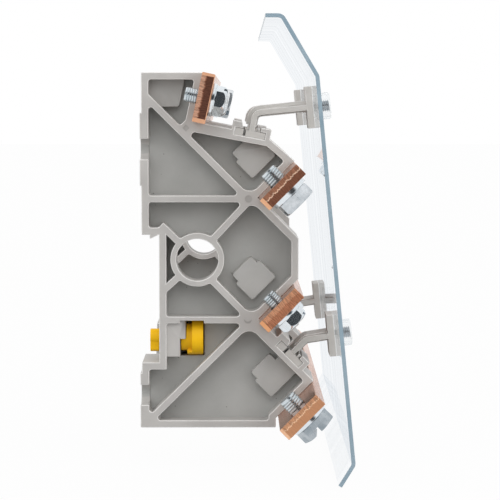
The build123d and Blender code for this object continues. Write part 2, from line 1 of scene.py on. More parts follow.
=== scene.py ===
import bpy
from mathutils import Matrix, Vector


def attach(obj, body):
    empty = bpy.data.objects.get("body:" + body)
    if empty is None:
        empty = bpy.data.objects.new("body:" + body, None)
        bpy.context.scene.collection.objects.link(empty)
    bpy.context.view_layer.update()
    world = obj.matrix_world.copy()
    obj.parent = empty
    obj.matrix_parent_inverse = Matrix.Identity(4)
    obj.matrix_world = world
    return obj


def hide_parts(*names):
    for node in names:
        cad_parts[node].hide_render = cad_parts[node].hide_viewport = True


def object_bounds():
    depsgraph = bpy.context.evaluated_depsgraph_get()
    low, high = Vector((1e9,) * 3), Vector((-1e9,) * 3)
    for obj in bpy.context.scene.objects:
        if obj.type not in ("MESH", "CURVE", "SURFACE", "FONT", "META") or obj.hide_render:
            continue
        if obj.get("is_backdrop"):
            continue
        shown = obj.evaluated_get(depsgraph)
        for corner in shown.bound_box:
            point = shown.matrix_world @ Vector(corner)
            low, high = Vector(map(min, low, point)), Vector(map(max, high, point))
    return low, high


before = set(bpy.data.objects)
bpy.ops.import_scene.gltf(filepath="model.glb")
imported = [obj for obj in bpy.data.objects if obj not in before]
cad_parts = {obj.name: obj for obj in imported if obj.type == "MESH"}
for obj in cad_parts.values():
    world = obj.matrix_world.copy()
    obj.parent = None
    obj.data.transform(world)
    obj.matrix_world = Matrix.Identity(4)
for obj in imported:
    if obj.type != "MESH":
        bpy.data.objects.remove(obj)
lowest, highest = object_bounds()

import bpy, math
from mathutils import Matrix, Vector


# End supports
# Two identical mouldings in light warm grey plastic, with deep rib cells and rounded rims.
# They clip on the rail and carry the bars on stepped seats. Here the solids' edges are softened.
# Their rounded front edges are painted lighter as a highlight, and the cell floors, nut tower tops
# and ejector marks darker as shade.

MM = 0.001
# the near face of each support, Y
FACES = {"near": -66.0, "far": 44.0}


def pick(*pieces):
    """Select these pieces and nothing else; the first is the active one."""
    bpy.ops.object.select_all(action="DESELECT")
    for piece in pieces:
        piece.select_set(True)
    bpy.context.view_layer.objects.active = pieces[0]


def join(*parts):
    """Make one piece of these, under the first one's name."""
    pick(*parts)
    if len(parts) > 1:
        bpy.ops.object.join()
    return parts[0]


def edit(piece):
    pick(piece)
    bpy.ops.object.mode_set(mode="EDIT")
    bpy.ops.mesh.select_all(action="SELECT")


def leave(piece):
    bpy.ops.object.mode_set(mode="OBJECT")
    piece.select_set(False)


def apply_all(piece):
    pick(piece)
    for modifier in list(piece.modifiers):
        bpy.ops.object.modifier_apply(modifier=modifier.name)
    piece.select_set(False)


def smooth(piece, angle):
    """Shade smooth across every edge that turns less than the angle, with flat faces kept flat."""
    pick(piece)
    bpy.ops.object.shade_smooth_by_angle(angle=math.radians(angle))
    even = piece.modifiers.new("flat faces", "WEIGHTED_NORMAL")
    even.keep_sharp = True
    apply_all(piece)


def mark_edges(piece, chosen):
    """Give a bevel weight to each edge that the rule picks from its two ends and its two faces."""
    mesh = piece.data
    sides = {}
    for face in mesh.polygons:
        for key in face.edge_keys:
            sides.setdefault(key, []).append(face)
    name = "bevel_weight_edge"
    weights = mesh.attributes.get(name) or mesh.attributes.new(name, "FLOAT", "EDGE")
    for line in mesh.edges:
        faces = sides[line.key]
        ends = [mesh.vertices[number].co for number in line.vertices]
        weights.data[line.index].value = float(len(faces) == 2 and chosen(mesh, ends, faces))


def round_marked(piece, width, segments, held=False):
    """Round the marked edges; a held rounding shrinks where there is no room for it."""
    edge = piece.modifiers.new("edge", "BEVEL")
    edge.width = width * MM
    edge.segments = segments
    edge.limit_method = "WEIGHT"
    edge.use_clamp_overlap = held
    apply_all(piece)


def roomy(mesh, ends, face, width):
    """True where the face reaches far enough from the edge to take its rounding."""
    along = (ends[1] - ends[0]).normalized()
    reach = max((mesh.vertices[number].co - ends[0]).cross(along).length for number in face.vertices)
    return reach > 1.6 * width * MM


def juts_out(mesh, ends, faces):
    """True where the two faces meet in an outer corner, not an inner one."""
    loop = list(faces[0].vertices)
    pairs = [(mesh.vertices[a].co, mesh.vertices[b].co) for a, b in zip(loop, loop[1:] + loop[:1])]
    along = [b - a for a, b in pairs if {tuple(a), tuple(b)} == {tuple(ends[0]), tuple(ends[1])}][0]
    return faces[1].normal.dot(faces[0].normal.cross(along)) < 0


def softened(node, name, edge, corner=None, spared=None):
    """A merged copy of one solid, its outer edges rounded.

    A corner rule picks edges that are first rounded more; a spared rule leaves some points alone.
    """
    piece = bpy.data.objects.new(name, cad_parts[node].data.copy())
    bpy.context.scene.collection.objects.link(piece)
    edit(piece)
    bpy.ops.mesh.remove_doubles(threshold=2e-6)
    bpy.ops.mesh.dissolve_limited(angle_limit=math.radians(0.6))
    bpy.ops.mesh.normals_make_consistent(inside=False)
    leave(piece)

    def chosen(mesh, ends, faces):
        sharp = faces[0].normal.angle(faces[1].normal) > math.radians(32)
        if not sharp or (spared and any(spared(end / MM) for end in ends)):
            return False
        return juts_out(mesh, ends, faces) and all(roomy(mesh, ends, face, edge) for face in faces)

    if corner:
        mark_edges(piece, lambda mesh, ends, faces: corner(ends) and juts_out(mesh, ends, faces))
        round_marked(piece, 0.75, 3)
    mark_edges(piece, chosen)
    round_marked(piece, edge, 2)
    smooth(piece, 38)
    return piece


def dress(piece, body, node, material):
    """Give a piece its finish and its body, and hide the node that it stands for."""
    piece.data.materials.clear()
    piece.data.materials.append(material)
    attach(piece, body)
    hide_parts(node)


def new_material(name):
    material = bpy.data.materials.new(name)
    material.use_nodes = True
    nodes = material.node_tree.nodes
    return material, nodes, material.node_tree.links, nodes["Principled BSDF"]


def noise(nodes, links, scale, detail=4.0, rough=0.55, stretch=(1, 1, 1), vector=None):
    """Noise in the object's own metres, stretched along an axis where asked."""
    texture = nodes.new("ShaderNodeTexNoise")
    texture.inputs["Scale"].default_value = scale
    texture.inputs["Detail"].default_value = detail
    texture.inputs["Roughness"].default_value = rough
    if vector is None:
        coords = nodes.new("ShaderNodeTexCoord")
        mapping = nodes.new("ShaderNodeMapping")
        mapping.inputs["Scale"].default_value = stretch
        links.new(coords.outputs["Object"], mapping.inputs["Vector"])
        vector = mapping.outputs["Vector"]
    links.new(vector, texture.inputs["Vector"])
    return texture.outputs["Fac"]


def ramp(nodes, links, source, stops):
    """Colours by a value between 0 and 1, from pairs of a place and a colour."""
    node = nodes.new("ShaderNodeValToRGB")
    elements = node.color_ramp.elements
    while len(elements) < len(stops):
        elements.new(0.5)
    for element, (place, colour) in zip(elements, stops):
        element.position = place
        element.color = (*colour, 1)
    links.new(source, node.inputs["Fac"])
    return node.outputs["Color"]


def blend(nodes, links, kind, factor, first, second):
    """Mix two colours; each input is a number, a colour or a socket."""
    mix = nodes.new("ShaderNodeMix")
    mix.data_type = "RGBA"
    mix.blend_type = kind
    for name, value in (("Factor", factor), ("A", first), ("B", second)):
        socket = mix.inputs[name]
        if isinstance(value, (int, float)):
            socket.default_value = value
        elif isinstance(value, tuple):
            socket.default_value = (*value, 1)
        else:
            links.new(value, socket)
    return mix.outputs["Result"]


def bump(nodes, links, source, shader, strength, distance):
    node = nodes.new("ShaderNodeBump")
    node.inputs["Strength"].default_value = strength
    node.inputs["Distance"].default_value = distance * MM
    links.new(source, node.inputs["Height"])
    links.new(node.outputs["Normal"], shader.inputs["Normal"])


def uneven(nodes, links, source, low, high, socket):
    """Drive a plain number between two values by a noise."""
    links.new(ramp(nodes, links, source, [(0.3, (low,) * 3), (0.7, (high,) * 3)]), socket)


def plastic(name, dark, light, roughness, grain=2600.0, specks=0.0, shine=0.5):
    """Moulded plastic: cloudy colour, fine grain, uneven gloss, and dark specks where asked."""
    material, nodes, links, shader = new_material(name)
    cloud = noise(nodes, links, 95.0, 5.0)
    colour = ramp(nodes, links, cloud, [(0.32, dark), (0.68, light)])
    if specks:
        dots = nodes.new("ShaderNodeTexVoronoi")
        dots.inputs["Scale"].default_value = 300.0
        place = nodes.new("ShaderNodeTexCoord")
        links.new(place.outputs["Object"], dots.inputs["Vector"])
        spot = ramp(nodes, links, dots.outputs["Distance"],
                    [(specks * 0.5, (0.35, 0.34, 0.32)), (specks, (1, 1, 1))])
        colour = blend(nodes, links, "MULTIPLY", 1.0, colour, spot)
    links.new(colour, shader.inputs["Base Color"])
    fine = noise(nodes, links, grain, 3.0)
    uneven(nodes, links, fine, roughness - 0.07, roughness + 0.07, shader.inputs["Roughness"])
    shader.inputs["Specular IOR Level"].default_value = shine
    bump(nodes, links, fine, shader, 0.25, 0.05)
    return material


def facing(piece, material, test):
    """A second finish on the faces that the test picks by their normal and centre, in millimetres."""
    piece.data.materials.append(material)
    number = len(piece.data.materials) - 1
    for face in piece.data.polygons:
        if test(face.normal, face.center / MM):
            face.material_index = number


rim_plastic = plastic("support rim", (0.44, 0.425, 0.41), (0.50, 0.485, 0.465), 0.45)
# painted highlight: a lighter copy of the rim plastic on the rounded front edges
edge_highlight_plastic = plastic("support rounded edge painted highlight", (0.66, 0.65, 0.63), (0.74, 0.73, 0.71), 0.3)
# painted shade: a darker copy of the rim plastic on the cell floors, with real dark specks
floor_shade_and_specks_plastic = plastic("support cell floor painted shade and specks", (0.38, 0.38, 0.365), (0.43, 0.43, 0.415), 0.6, 1800.0, 0.06)
# painted shade: the floors of the shallow ejector mark recesses, darker than the rim
mark_shade_plastic = plastic("support ejector mark painted shade", (0.36, 0.35, 0.335), (0.41, 0.40, 0.385), 0.5)
# painted shade: the tower tops and their rounded edges, set back from the near face, between the rim and
# floor tones
tower_shade_plastic = plastic("support nut tower painted shade", (0.39, 0.385, 0.37), (0.44, 0.435, 0.42), 0.5)
# depths from a support's near face: the flat tops of the nut towers, and the web they stand on
TOWER_TOP, WEB_TOP = 4.0, 7.0
# each painted highlight or shade, with the range of the face's normal along Y and of its depth from the
# near face
SUPPORT_PAINTED_LIGHT_AND_SHADE = [
    (floor_shade_and_specks_plastic, (-1.1, -0.9), (5.0, 8.0)),
    (floor_shade_and_specks_plastic, (0.9, 1.1), (8.0, 10.0)),
    (tower_shade_plastic, (-1.1, -0.9), (3.0, 5.0)),
    (mark_shade_plastic, (-1.1, -0.9), (0.1, 0.3)),
    (edge_highlight_plastic, (-0.96, -0.2), (-1.0, 0.3)),
    (tower_shade_plastic, (-0.96, -0.2), (3.8, 4.3)),
]
for end, start in FACES.items():
    node = "end_support_" + end

    def tower_corner(ends):
        return sorted(round(point.y / MM - start, 1) for point in ends) == [TOWER_TOP, WEB_TOP]

    piece = softened(node, "support_" + end, 0.24, corner=tower_corner)
    dress(piece, "block", node, rim_plastic)
    # each entry paints a highlight or a shade onto the faces it picks
    for finish, (least, most), (front, back) in SUPPORT_PAINTED_LIGHT_AND_SHADE:
        facing(piece, finish, lambda n, c: least < n.y < most and front < c.y - start < back)


# Busbars
# Flat drawn copper, sheared to length and bolted across the supports. Fine lines run along the
# faces; each end shows a smooth sheared band, a torn ridge and a broken part lined across. The end
# faces' edges are painted lighter as a highlight, and the bright ridges of bars 2 and 4 are real
# ridges with a painted highlight.

# middle of each bar's seat, X and Z, and the slope of its thickness below the horizontal
SEATS = {1: (17.7, 61.3, 12.3), 2: (41.4, 36.4, 45.0), 3: (41.4, -0.8, 45.0), 4: (47.2, -30.8, 45.0)}
BAR = 4.0

copper, nodes, links, shader = new_material("drawn copper")
shader.inputs["Metallic"].default_value = 1.0
shader.inputs["Specular Tint"].default_value = (0.98, 0.90, 0.87, 1)
streak = noise(nodes, links, 900.0, 5.0, 0.6, (1, 0.03, 1))
stain = noise(nodes, links, 70.0, 4.0, 0.6)
colour = ramp(nodes, links, stain, [(0.3, (0.58, 0.31, 0.20)), (0.7, (0.74, 0.44, 0.31))])
links.new(colour, shader.inputs["Base Color"])
uneven(nodes, links, streak, 0.13, 0.24, shader.inputs["Roughness"])
bump(nodes, links, streak, shader, 0.15, 0.05)


def combine(nodes, links, kind, *values):
    """One step of arithmetic on numbers or sockets."""
    node = nodes.new("ShaderNodeMath")
    node.operation = kind
    for socket, value in zip(node.inputs, values):
        if isinstance(value, (int, float)):
            socket.default_value = value
        else:
            links.new(value, socket)
    return node.outputs[0]


def across(nodes, links, direction, start):
    """Distance in millimetres along a direction, from a start value."""
    coords = nodes.new("ShaderNodeTexCoord")
    dot = nodes.new("ShaderNodeVectorMath")
    dot.operation = "DOT_PRODUCT"
    dot.inputs[1].default_value = [v / MM for v in direction]
    links.new(coords.outputs["Object"], dot.inputs[0])
    return combine(nodes, links, "SUBTRACT", dot.outputs["Value"], start)


def sheared(bar, band, ridge, torn, rim, panel, lined):
    """Sheared end of a bar: the smooth band's width and colour, then the colours of the others.

    The panel is the part inside the rim, by height from, height to and depth; the rim colour is a
    painted highlight along the end face's edges. Lined says how strongly the lines show past the ridge.
    """
    x, z, slope = SEATS[bar]
    a = math.radians(slope)
    out, up = (math.cos(a), 0, -math.sin(a)), (math.sin(a), 0, math.cos(a))
    material, nodes, links, shader = new_material("sheared copper %d" % bar)
    shader.inputs["Metallic"].default_value = 0.6
    shader.inputs["Roughness"].default_value = 0.38
    depth = across(nodes, links, out, x * out[0] + z * out[2])
    height = across(nodes, links, up, x * up[0] + z * up[2])

    wander = nodes.new("ShaderNodeCombineXYZ")
    links.new(combine(nodes, links, "MULTIPLY", height, 0.75), wander.inputs["X"])
    wave = noise(nodes, links, 1.0, 3.0, 0.65, vector=wander.outputs["Vector"])
    wavy = combine(nodes, links, "ADD", depth, combine(nodes, links, "MULTIPLY_ADD", wave, 2.6, -1.3))
    share = combine(nodes, links, "MULTIPLY", wavy, 1 / BAR)

    lines = nodes.new("ShaderNodeCombineXYZ")
    links.new(combine(nodes, links, "MULTIPLY", height, 3.2), lines.inputs["X"])
    links.new(combine(nodes, links, "MULTIPLY", depth, 0.35), lines.inputs["Y"])
    comb = noise(nodes, links, 1.0, 3.0, 0.7, vector=lines.outputs["Vector"])
    tear = ramp(nodes, links, comb, [(0.36, (0.58,) * 3), (0.64, (1.3,) * 3)])
    bump(nodes, links, comb, shader, 0.7, 0.2)

    width, smooth_band = band
    edge = width / BAR
    colour = ramp(nodes, links, share, [(0.0, smooth_band), (edge - 0.05, smooth_band), (edge, ridge),
                                        (edge + 0.035, ridge), (edge + 0.07, torn), (1.0, torn)])
    beyond = combine(nodes, links, "GREATER_THAN", share, edge + 0.05)
    strength = combine(nodes, links, "MULTIPLY_ADD", beyond, lined - 1, 1.0)
    colour = blend(nodes, links, "MULTIPLY", strength, colour, tear)
    bottom, top, reach = panel
    inside = combine(nodes, links, "MULTIPLY", combine(nodes, links, "GREATER_THAN", height, bottom),
                     combine(nodes, links, "LESS_THAN", height, top))
    inside = combine(nodes, links, "MULTIPLY", inside, combine(nodes, links, "LESS_THAN", depth, reach))
    # painted highlight: outside the panel the end takes the bright rim colour
    colour = blend(nodes, links, "MIX", inside, rim, colour)
    links.new(colour, shader.inputs["Base Color"])
    return material


# per bar: smooth band, ridge, torn part, rim as painted highlight, panel, lines; the bright ridges of bars
# 2 and 4 are partly painted highlight
sheared_ends = {
    1: sheared(1, (1.45, (0.62, 0.34, 0.23)), (0.30, 0.12, 0.07), (0.13, 0.048, 0.028),
               (0.85, 0.45, 0.27), (-6.2, 6.6, 3.75), 1.0),
    2: sheared(2, (1.55, (0.36, 0.155, 0.09)), (0.95, 0.66, 0.48), (0.22, 0.082, 0.045),
               (0.92, 0.50, 0.29), (-6.3, 9.0, 9.0), 0.7),
    3: sheared(3, (1.5, (0.62, 0.30, 0.17)), (0.60, 0.28, 0.16), (0.47, 0.19, 0.10),
               (0.88, 0.42, 0.20), (-6.3, 9.0, 9.0), 1.0),
    4: sheared(4, (1.3, (0.62, 0.31, 0.17)), (0.95, 0.62, 0.40), (0.61, 0.29, 0.15),
               (0.94, 0.55, 0.34), (-6.6, 9.0, 9.0), 0.25),
}
for bar in SEATS:
    node = "busbar_%d" % bar
    piece = softened(node, "bar_%d" % bar, 0.1)
    dress(piece, "block", node, copper)
    facing(piece, sheared_ends[bar], lambda n, c: abs(n.y) > 0.9)


# Bolts and screws
# Zinc plated steel: slotted hexagon heads with a turned crown and a small washer face, and rolled
# threads whose tips show behind the bars. They screw into the bars or into nuts behind them.

def zinc_plate(name, dark, light, low, high):
    """Plated steel: patches between two colours, and fine marks that change its roughness."""
    material, nodes, links, shader = new_material(name)
    shader.inputs["Metallic"].default_value = 1.0
    mark = noise(nodes, links, 5200.0, 3.0)
    patch = noise(nodes, links, 260.0, 3.0)
    links.new(ramp(nodes, links, patch, [(0.3, dark), (0.7, light)]), shader.inputs["Base Color"])
    uneven(nodes, links, mark, low, high, shader.inputs["Roughness"])
    bump(nodes, links, mark, shader, 0.06, 0.02)
    return material


bright_zinc = zinc_plate("bright zinc", (0.70, 0.76, 0.80), (0.84, 0.87, 0.90), 0.14, 0.22)
clouded_zinc = zinc_plate("clouded zinc", (0.42, 0.46, 0.49), (0.76, 0.79, 0.82), 0.14, 0.24)
dull_zinc = zinc_plate("dull zinc", (0.26, 0.31, 0.35), (0.52, 0.56, 0.59), 0.24, 0.36)
thread_zinc = zinc_plate("thread zinc", (0.54, 0.60, 0.63), (0.74, 0.79, 0.82), 0.2, 0.3)


def solid_of_turning(piece_name, vertices, radius, low, high, bevel=0.0, segments=1):
    """Bar along Z from a low to a high end, with its end edges rounded where asked."""
    bpy.ops.object.select_all(action="DESELECT")
    bpy.ops.mesh.primitive_cylinder_add(vertices=vertices, radius=radius * MM, depth=(high - low) * MM,
                                        location=(0, 0, (low + high) / 2 * MM))
    piece = bpy.context.object
    piece.name = piece_name
    bpy.ops.object.transform_apply(location=True)
    if bevel:
        edge = piece.modifiers.new("edge", "BEVEL")
        edge.width = bevel * MM
        edge.segments = segments
        edge.limit_method = "ANGLE"
        edge.angle_limit = math.radians(50)
        apply_all(piece)
    return piece


def boolean(piece, tool, operation):
    """Cut or keep what the tool covers, then drop the tool."""
    cut = piece.modifiers.new("cut", "BOOLEAN")
    cut.operation = operation
    cut.object = tool
    cut.solver = "EXACT"
    apply_all(piece)
    bpy.data.objects.remove(tool)


def thread_ridge(radius, pitch, low, turns):
    """The raised part of a thread: a triangle wound round the axis, its ends closed."""
    size = 0.36 * pitch
    upright = (math.radians(90), math.radians(90), 0)
    bpy.ops.object.select_all(action="DESELECT")
    bpy.ops.mesh.primitive_circle_add(vertices=3, radius=size * MM, rotation=upright,
                                      location=((radius - size) * MM, 0, (low + pitch * 0.5) * MM))
    ridge = bpy.context.object
    bpy.ops.object.transform_apply(location=True, rotation=True)
    wind = ridge.modifiers.new("wind", "SCREW")
    wind.axis = "Z"
    wind.screw_offset = pitch * MM
    wind.iterations = turns
    wind.steps = 30
    wind.render_steps = 30
    apply_all(ridge)
    edit(ridge)
    bpy.ops.mesh.remove_doubles(threshold=2e-6)
    bpy.ops.mesh.fill_holes(sides=3)
    bpy.ops.mesh.select_all(action="SELECT")
    bpy.ops.mesh.normals_make_consistent(inside=False)
    leave(ridge)
    return ridge


def outline_flats(piece, width):
    """Round off every edge of the hexagon's flats and of the groove's walls."""
    edit(piece)
    bpy.ops.mesh.dissolve_limited(angle_limit=math.radians(0.6))
    leave(piece)

    def chosen(mesh, ends, faces):
        flats = [abs(face.normal.z) < 0.01 and face.area > 1.5 * MM * MM for face in faces]
        return flats[0] != flats[1] or faces[0].normal.angle(faces[1].normal) > math.radians(38)

    mark_edges(piece, chosen)
    round_marked(piece, width, 2, True)


def hexagon_screw(name, flats, head, crown, slot, radius, length, pitch, washer):
    """Slotted hexagon screw along Z, over a washer that lies on z = 0.

    Flats is the width across them, crown the rounding of the head's top, slot a width and a depth.
    """
    top = washer + head
    corner = flats / 2 / math.cos(math.radians(30))
    screw = solid_of_turning(name, 6, corner, washer + 0.25, top)
    crowned = solid_of_turning("crown", 72, corner + 0.04, washer - head, top, crown, 7)
    boolean(screw, crowned, "INTERSECT")
    size = (flats * 2 * MM, slot[0] * MM, slot[1] * 2 * MM)
    bpy.ops.object.select_all(action="DESELECT")
    bpy.ops.mesh.primitive_cube_add(size=1, location=(0, 0, top * MM), scale=size)
    groove = bpy.context.object
    bpy.ops.object.transform_apply(location=True, scale=True)
    boolean(screw, groove, "DIFFERENCE")
    outline_flats(screw, 0.11)
    face = solid_of_turning("washer face", 48, flats * 0.45, washer + 0.01, washer + 0.35)
    tip = washer - length
    core = solid_of_turning("core", 36, radius - 0.5 * pitch, tip, washer + 0.3, 0.35, 2)
    ridge = thread_ridge(radius, pitch, tip + 0.3, int((length - 1.2) / pitch))
    join(screw, face, core, ridge)
    smooth(screw, 32)
    return screw


def seat_matrix(bar, y, turn):
    """Place on a bar's outer face: z out of the bar, y up its width, turned about z."""
    x, z, slope = SEATS[bar]
    a = math.radians(slope)
    outward, upward = Vector((math.cos(a), 0, -math.sin(a))), Vector((math.sin(a), 0, math.cos(a)))
    centre = (Vector((x, y, z)) + outward * BAR) * MM
    axes = Matrix((Vector((0, 1, 0)), upward, outward)).transposed().to_4x4()
    return Matrix.Translation(centre) @ axes @ Matrix.Rotation(math.radians(turn), 4, "Z")


def copy_at(made, place):
    """A copy of a made piece, with its own mesh, at its place."""
    copy = made.copy()
    copy.data = made.data.copy()
    bpy.context.scene.collection.objects.link(copy)
    copy.matrix_world = place
    return copy


def fit_screws(node, made, places, material):
    """The screws of one node: copies of one made screw, each at its bar, Y and turn."""
    in_thread = [face.center.z < 0 for face in made.data.polygons]
    copies = [copy_at(made, seat_matrix(*place)) for place in places]
    pick(*copies)
    bpy.ops.object.transform_apply(location=True, rotation=True, scale=True)
    piece = join(*copies)
    piece.name = node + "_steel"
    dress(piece, "block", node, material)
    piece.data.materials.append(thread_zinc)
    for face, turned in zip(piece.data.polygons, in_thread * len(places)):
        face.material_index = int(turned)


# width across the flats, height of the head, crown, slot, radius, length, pitch, washer
large = hexagon_screw("large", 10.0, 4.0, 1.0, (2.1, 1.8), 3.0, 10.0, 0.8, 1.6)
large_sharp = hexagon_screw("large sharp", 10.0, 4.0, 0.4, (2.1, 1.8), 3.0, 10.0, 0.8, 1.6)
small = hexagon_screw("small", 8.0, 3.5, 1.6, (1.6, 1.2), 2.5, 9.0, 0.7, 1.1)
long_small = hexagon_screw("long", 8.0, 3.5, 1.6, (1.6, 1.2), 2.5, 12.0, 0.7, 1.1)
# where the screws at the two ends of each bar are, Y, and the turn of their heads
main_places = {1: (83.0, 41), 2: (-83.0, 81), 3: (83.0, 95), 4: (-83.0, 4)}
end_places = {1: (-73.0, 112), 2: (73.0, 17), 3: (-73.0, 108), 4: (73.0, 50)}
TERMINAL_PITCH = 16.0
for bar in SEATS:
    made, plating = (large_sharp, dull_zinc) if bar == 4 else (large, clouded_zinc)
    fit_screws("main_bolt_%d" % bar, made, [(bar, *main_places[bar])], plating)
    fit_screws("end_screw_%d" % bar, small, [(bar, *end_places[bar])], bright_zinc)
    places = [(bar, (step - 2) * TERMINAL_PITCH, bar * 37 + step * 53) for step in range(5)]
    fit_screws("terminal_screws_%d" % bar, small, places, bright_zinc)
# the support's own screws, this far back from its near face
SEAT_SCREW_DEPTH = 13.0
for end, start in FACES.items():
    places = [(bar, start + SEAT_SCREW_DEPTH, bar * 41 + 9) for bar in SEATS]
    fit_screws("support_screws_" + end, long_small, places, bright_zinc)
for made in (large, large_sharp, small, long_small):
    bpy.data.objects.remove(made)


# Washers and captive nuts
# Punched washers under every head, and square nuts dropped into the towers behind the seats,
# all zinc plated like the screws.

flat_parts = ["support_%s_%s" % (kind, end) for kind in ("washers", "nuts") for end in FACES]
for bar in SEATS:
    flat_parts += ["main_washer_%d" % bar, "end_washer_%d" % bar, "terminal_washers_%d" % bar]
for node in flat_parts:
    piece = softened(node, node + "_steel", 0.12)
    dress(piece, "block", node, bright_zinc)


# Clear cover
# One sheet of clear plastic, bent along straight lines and screwed to the four arms. Its sawn
# edges look blue-grey, and its face turns into a mirror where it is seen at a low angle.

def see_through(name, tint, gloss, haze, share, shine_share):
    """Thin clear plastic: mostly seen through, with haze of a share and a reflection of a share."""
    material, nodes, links, shader = new_material(name)
    nodes.remove(shader)
    through = nodes.new("ShaderNodeBsdfTransparent")
    through.inputs["Color"].default_value = (*tint, 1)
    shine = nodes.new("ShaderNodeBsdfGlossy")
    cloud = noise(nodes, links, 260.0, 3.0)
    uneven(nodes, links, cloud, gloss * 0.6, gloss * 1.5, shine.inputs["Roughness"])
    bands = noise(nodes, links, 70.0, 3.0, 0.6, (0.02, 1, 0.02))
    banded = ramp(nodes, links, bands, [(0.35, (0.80, 0.83, 0.86)), (0.65, (0.93, 0.95, 0.97))])
    links.new(banded, shine.inputs["Color"])
    skin = nodes.new("ShaderNodeBsdfDiffuse")
    skin.inputs["Color"].default_value = (*haze, 1)
    body = nodes.new("ShaderNodeMixShader")
    body.inputs["Fac"].default_value = share
    links.new(through.outputs[0], body.inputs[1])
    links.new(skin.outputs[0], body.inputs[2])
    edge = nodes.new("ShaderNodeFresnel")
    edge.inputs["IOR"].default_value = 1.45
    surface = nodes.new("ShaderNodeMixShader")
    # the inner sides don't shine, so that no ray is caught inside the sheet
    inner = nodes.new("ShaderNodeNewGeometry").outputs["Backfacing"]
    outside = combine(nodes, links, "SUBTRACT", 1.0, inner)
    outside = combine(nodes, links, "MULTIPLY", outside, shine_share)
    links.new(combine(nodes, links, "MULTIPLY", edge.outputs[0], outside), surface.inputs["Fac"])
    links.new(body.outputs[0], surface.inputs[1])
    links.new(shine.outputs[0], surface.inputs[2])
    links.new(surface.outputs[0], nodes["Material Output"].inputs["Surface"])
    return material


clear = see_through("clear sheet", (0.99, 0.995, 0.998), 0.02, (0.88, 0.92, 0.95), 0.02, 1.0)
sawn_edge = plastic("sheet edge", (0.22, 0.31, 0.375), (0.31, 0.40, 0.46), 0.2, 900.0)
# the edges are solid from outside, and seen through from inside the sheet
nodes, links = sawn_edge.node_tree.nodes, sawn_edge.node_tree.links
mix = nodes.new("ShaderNodeMixShader")
links.new(nodes.new("ShaderNodeNewGeometry").outputs["Backfacing"], mix.inputs["Fac"])
links.new(nodes["Principled BSDF"].outputs[0], mix.inputs[1])
links.new(nodes.new("ShaderNodeBsdfTransparent").outputs[0], mix.inputs[2])
links.new(mix.outputs[0], nodes["Material Output"].inputs["Surface"])
piece = softened("cover_screen", "cover", 0.06)
dress(piece, "block", "cover_screen", clear)
facing(piece, sawn_edge, lambda n, c: abs(n.y) > 0.9)
# the top edge by its X, and the bottom one by its Z and the way it looks
facing(piece, sawn_edge, lambda n, c: abs(n.y) < 0.1 and (c.x < 38.2 or c.z < -50.0 and n.z < -0.7))


# Cover arms
# Four brackets moulded in the same grey plastic. Each foot slides into the track of a support and
# is slit across to spring in; the plate at the other end takes a screw through the cover.

# The arms' rounded front edges are painted lighter as a highlight, the plates' front faces lighter as
# light, and the slits' walls near black as shade.
arm_plastic = plastic("arm plastic", (0.47, 0.455, 0.43), (0.53, 0.515, 0.49), 0.45)
# painted light: a lighter copy of the arm plastic for the plates' front faces
lit_plate_plastic = plastic("arm plate painted light", (0.60, 0.595, 0.58), (0.66, 0.655, 0.64), 0.45)
# painted shade: near black for the walls of the slit across each foot
slit_shade_plastic = plastic("arm foot slit painted shade", (0.05, 0.048, 0.045), (0.08, 0.076, 0.07), 0.7)

# lower rear corner of each foot, X and Z, and the slope it lies at
FEET = {"upper": (28.6, 50.0, 11.0), "lower": (41.5, -14.5, 45.0)}
# how far the middle of an arm, with its screw, is behind the support's near face
ARM_MIDDLE = 8.0
# the slit across the foot: from and to along it, and from and to over it
SLIT_ALONG, SLIT_OVER = (2.3, 3.7), (0.1, 2.4)
# the thin web in the slit: its middle along the foot and over it, and its size along, in Y and up
SLIT_WEB, SLIT_WEB_SIZE = (3.0, 1.0), (0.9, 8.0, 1.9)
# X at Z = 0 past which an arm is its plate, and how much that falls for each step up
PLATE_START, PLATE_LEAN = 52.45, 0.096


def along_foot(name, point):
    """How far a point is along the foot and over it."""
    x, z, slope = FEET[name]
    a = math.radians(slope)
    dx, dz = point.x - x, point.z - z
    return dx * math.cos(a) - dz * math.sin(a), dx * math.sin(a) + dz * math.cos(a)


def on_foot(name, along, over, y):
    """The point at a distance along the foot and over it."""
    x, z, slope = FEET[name]
    a = math.radians(slope)
    return Vector((x + along * math.cos(a) + over * math.sin(a), y,
                   z - along * math.sin(a) + over * math.cos(a)))


def in_slit(name, point):
    along, over = along_foot(name, point)
    return SLIT_ALONG[0] < along < SLIT_ALONG[1] and SLIT_OVER[0] < over < SLIT_OVER[1]


for name in FEET:
    for end, start in FACES.items():
        node = "cover_arm_%s_%s" % (name, end)
        piece = softened(node, "arm_%s_%s" % (name, end), 0.15, spared=lambda point: in_slit(name, point))
        middle = on_foot(name, *SLIT_WEB, start + ARM_MIDDLE)
        bpy.ops.mesh.primitive_cube_add(size=1, location=middle * MM, scale=Vector(SLIT_WEB_SIZE) * MM,
                                        rotation=(0, math.radians(FEET[name][2]), 0))
        web = bpy.context.object
        bpy.ops.object.transform_apply(location=True, rotation=True, scale=True)
        join(piece, web)
        dress(piece, "block", node, arm_plastic)
        # painted highlight on the rounded front edges
        facing(piece, edge_highlight_plastic, lambda n, c: c.y - start < 3.8 and -0.96 < n.y < -0.2)
        # painted light on the plates' front faces
        facing(piece, lit_plate_plastic, lambda n, c: c.x > PLATE_START - PLATE_LEAN * c.z and n.y < -0.9)
        # painted shade on the slit's walls
        facing(piece, slit_shade_plastic, lambda n, c: abs(n.y) < 0.5 and in_slit(name, c))


# Cover screws
# Clear knurled heads moulded round threaded steel studs. They are turned by hand, through the
# cover and into the plates of the arms.

